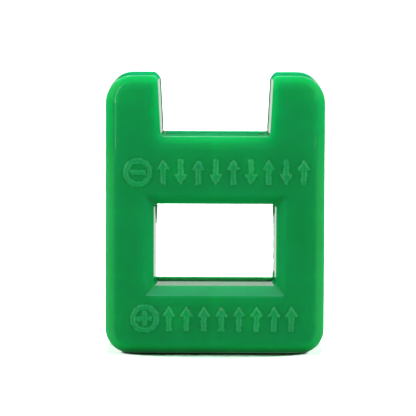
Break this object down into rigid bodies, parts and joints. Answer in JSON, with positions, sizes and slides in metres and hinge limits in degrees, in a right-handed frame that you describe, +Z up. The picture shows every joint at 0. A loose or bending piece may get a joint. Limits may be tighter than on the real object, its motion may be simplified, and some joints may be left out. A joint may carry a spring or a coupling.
{
  "type": "magnetizer demagnetizer block",
  "caption": "Flat plastic block that stands on edge: a tool stroked through its rectangular window is magnetized, and through its open top slot is demagnetized.",
  "frame": {"origin": "middle of the bottom edge, on the joint plane between the two half shells", "axes": "+Z up, towards the open slot; -Y out of the front face; +X to the right seen from the front"},
  "size_m": [0.04, 0.0166, 0.0508],
  "materials": {
    "case_plastic": "moulded, glossy, slightly translucent green",
    "magnet_plating": "bright nickel plating",
    "keeper_steel": "zinc-plated cold-rolled strip"
  },
  "bodies": {
    "root": {"front_shell": "case_plastic", "rear_shell": "case_plastic", "left_keeper_plate": "keeper_steel", "right_keeper_plate": "keeper_steel", "left_main_magnet": "magnet_plating", "right_main_magnet": "magnet_plating", "left_arm_magnet": "magnet_plating", "right_arm_magnet": "magnet_plating"}
  },
  "joints": []
}
